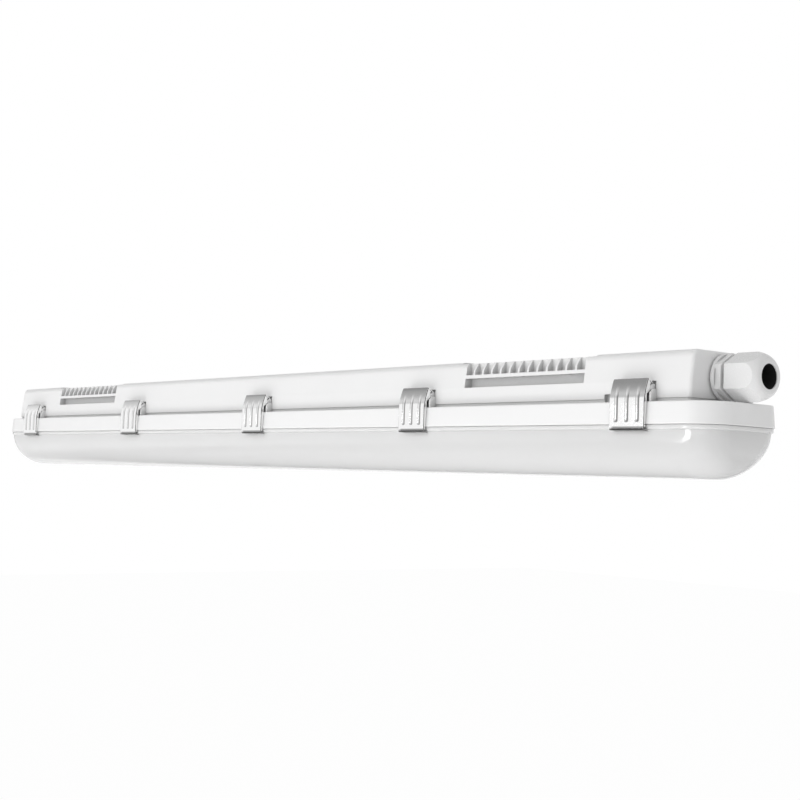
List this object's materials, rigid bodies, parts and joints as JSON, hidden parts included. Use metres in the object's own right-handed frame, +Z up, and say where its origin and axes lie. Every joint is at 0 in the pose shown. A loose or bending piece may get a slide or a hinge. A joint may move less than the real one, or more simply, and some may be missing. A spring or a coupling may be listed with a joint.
{
  "type": "vapor tight light fixture",
  "caption": "Long damp-proof ceiling light: moulded housing, milky diffuser, steel latches, cable gland.",
  "frame": {"origin": "centre of the flat back face of the housing, the face that lies on the ceiling", "axes": "+X along the fixture to the cable gland, +Z up into the ceiling, the body hangs below the origin"},
  "size_m": [1.163, 0.099, 0.095],
  "materials": {
    "housing_plastic": "light grey moulded polycarbonate, fine satin",
    "milky_plastic": "opal polycarbonate, semi-gloss",
    "gasket_foam": "foamed seal",
    "white_sheet": "white powder coat",
    "board_white": "white solder mask",
    "driver_white": "moulded case",
    "terminal_white": "moulded block",
    "lead_white": "flexible insulation",
    "screw_steel": "zinc plated",
    "stainless_steel": "pressed stainless sheet",
    "gland_plastic": "light grey nylon",
    "gland_rubber": "black seal rubber"
  },
  "bodies": {
    "fixture": {"housing": "housing_plastic", "diffuser": "milky_plastic", "gasket": "gasket_foam", "gear_tray": "white_sheet", "light_board_1": "board_white", "light_board_2": "board_white", "light_board_3": "board_white", "light_board_4": "board_white", "driver": "driver_white", "driver_screw_1": "screw_steel", "driver_screw_2": "screw_steel", "tray_screw_1": "screw_steel", "tray_screw_2": "screw_steel", "tray_screw_3": "screw_steel", "tray_screw_4": "screw_steel", "terminal_block": "terminal_white", "supply_lead": "lead_white", "board_lead": "lead_white", "gland_washer": "gland_rubber", "gland_body": "gland_plastic", "gland_locknut": "gland_plastic", "gland_seal": "gland_rubber"},
    "gland_nut": {"gland_nut": "gland_plastic"},
    "latch_front_1": {"latch_front_1": "stainless_steel"},
    "latch_front_2": {"latch_front_2": "stainless_steel"},
    "latch_front_3": {"latch_front_3": "stainless_steel"},
    "latch_front_4": {"latch_front_4": "stainless_steel"},
    "latch_front_5": {"latch_front_5": "stainless_steel"},
    "latch_rear_1": {"latch_rear_1": "stainless_steel"},
    "latch_rear_2": {"latch_rear_2": "stainless_steel"},
    "latch_rear_3": {"latch_rear_3": "stainless_steel"},
    "latch_rear_4": {"latch_rear_4": "stainless_steel"},
    "latch_rear_5": {"latch_rear_5": "stainless_steel"}
  },
  "joints": [
    {"name": "gland_nut_turn", "type": "hinge", "parent": "fixture", "child": "gland_nut", "pos_m": [0.548, 0, -0.01972], "axis": [1, 0, 0], "continuous": true},
    {"name": "latch_front_1_hinge", "type": "hinge", "parent": "fixture", "child": "latch_front_1", "pos_m": [-0.497, -0.0392, -0.028], "axis": [-1, 0, 0], "range_deg": [0, 36]},
    {"name": "latch_front_2_hinge", "type": "hinge", "parent": "fixture", "child": "latch_front_2", "pos_m": [-0.2485, -0.0392, -0.028], "axis": [-1, 0, 0], "range_deg": [0, 36]},
    {"name": "latch_front_3_hinge", "type": "hinge", "parent": "fixture", "child": "latch_front_3", "pos_m": [0, -0.0392, -0.028], "axis": [-1, 0, 0], "range_deg": [0, 36]},
    {"name": "latch_front_4_hinge", "type": "hinge", "parent": "fixture", "child": "latch_front_4", "pos_m": [0.2485, -0.0392, -0.028], "axis": [-1, 0, 0], "range_deg": [0, 36]},
    {"name": "latch_front_5_hinge", "type": "hinge", "parent": "fixture", "child": "latch_front_5", "pos_m": [0.497, -0.0392, -0.028], "axis": [-1, 0, 0], "range_deg": [0, 36]},
    {"name": "latch_rear_1_hinge", "type": "hinge", "parent": "fixture", "child": "latch_rear_1", "pos_m": [-0.497, 0.0392, -0.028], "axis": [1, 0, 0], "range_deg": [0, 36]},
    {"name": "latch_rear_2_hinge", "type": "hinge", "parent": "fixture", "child": "latch_rear_2", "pos_m": [-0.2485, 0.0392, -0.028], "axis": [1, 0, 0], "range_deg": [0, 36]},
    {"name": "latch_rear_3_hinge", "type": "hinge", "parent": "fixture", "child": "latch_rear_3", "pos_m": [0, 0.0392, -0.028], "axis": [1, 0, 0], "range_deg": [0, 36]},
    {"name": "latch_rear_4_hinge", "type": "hinge", "parent": "fixture", "child": "latch_rear_4", "pos_m": [0.2485, 0.0392, -0.028], "axis": [1, 0, 0], "range_deg": [0, 36]},
    {"name": "latch_rear_5_hinge", "type": "hinge", "parent": "fixture", "child": "latch_rear_5", "pos_m": [0.497, 0.0392, -0.028], "axis": [1, 0, 0], "range_deg": [0, 36]}
  ]
}
